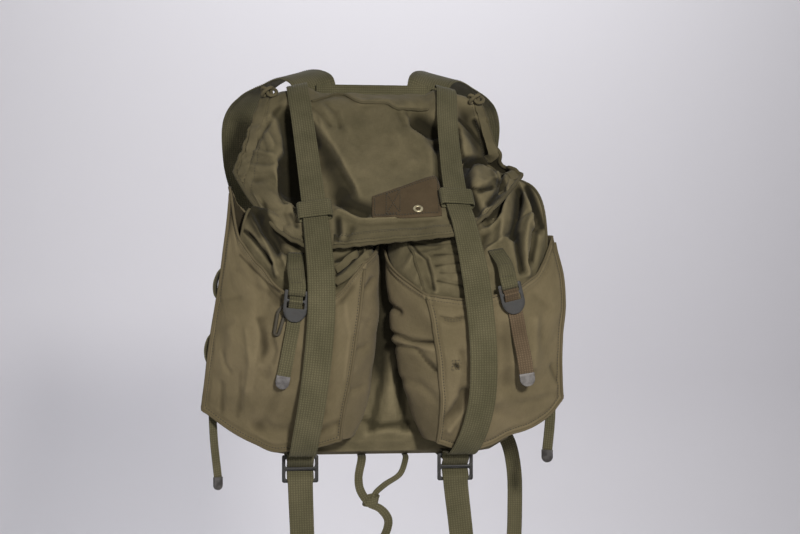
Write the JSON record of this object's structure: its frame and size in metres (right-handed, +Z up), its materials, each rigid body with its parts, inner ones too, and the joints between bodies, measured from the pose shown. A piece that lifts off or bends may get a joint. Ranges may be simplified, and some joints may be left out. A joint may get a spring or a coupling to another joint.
{
  "type": "rucksack",
  "caption": "Worn canvas military rucksack with an open sack, buckled outer pockets, a slack strapped lid and webbing shoulder straps.",
  "frame": {"origin": "on the sack's back at its top edge, midway between the shoulder straps, where it hangs on the wearer's back", "axes": "+Z up, +Y towards the wearer, +X to the right seen from behind the wearer"},
  "size_m": [0.4208, 0.3698, 0.6168],
  "materials": {
    "olive_duck": "worn cotton duck",
    "faded_duck": "faded and stained cotton duck",
    "brown_duck": "worn cotton duck",
    "green_webbing": "ribbed cotton webbing",
    "brown_webbing": "ribbed cotton webbing",
    "dark_steel": "worn dark paint on steel",
    "eyelet_brass": "dull"
  },
  "bodies": {
    "root": {"sack": "olive_duck", "flap": "olive_duck", "flap_patch": "brown_duck", "flap_eyelet": "eyelet_brass", "flap_hem": "olive_duck", "pocket_left": "faded_duck", "pocket_right": "faded_duck", "pocket_flap_left": "olive_duck", "pocket_flap_right": "olive_duck", "closing_strap_left": "green_webbing", "closing_strap_right": "green_webbing", "bottom_buckle_left": "dark_steel", "bottom_buckle_right": "dark_steel", "buckle_anchor_left": "green_webbing", "buckle_anchor_right": "green_webbing", "keeper_left": "green_webbing", "keeper_right": "green_webbing", "pocket_buckle_left": "dark_steel", "pocket_buckle_right": "dark_steel", "pocket_tab_left": "green_webbing", "pocket_tab_right": "green_webbing", "pocket_tail_left": "green_webbing", "pocket_tail_right": "brown_webbing", "pocket_tip_left": "dark_steel", "pocket_tip_right": "dark_steel", "yoke_band": "green_webbing", "shoulder_strap_left": "green_webbing", "shoulder_strap_right": "green_webbing", "shoulder_tail_right": "green_webbing", "side_tail_left": "green_webbing", "side_tail_right": "green_webbing", "side_tip_left": "dark_steel", "side_tip_right": "dark_steel", "side_loop_upper": "green_webbing", "side_loop_lower": "green_webbing", "tie_tape": "green_webbing", "tie_loop": "green_webbing", "corner_knot_left": "olive_duck", "corner_knot_right": "olive_duck"}
  },
  "joints": []
}
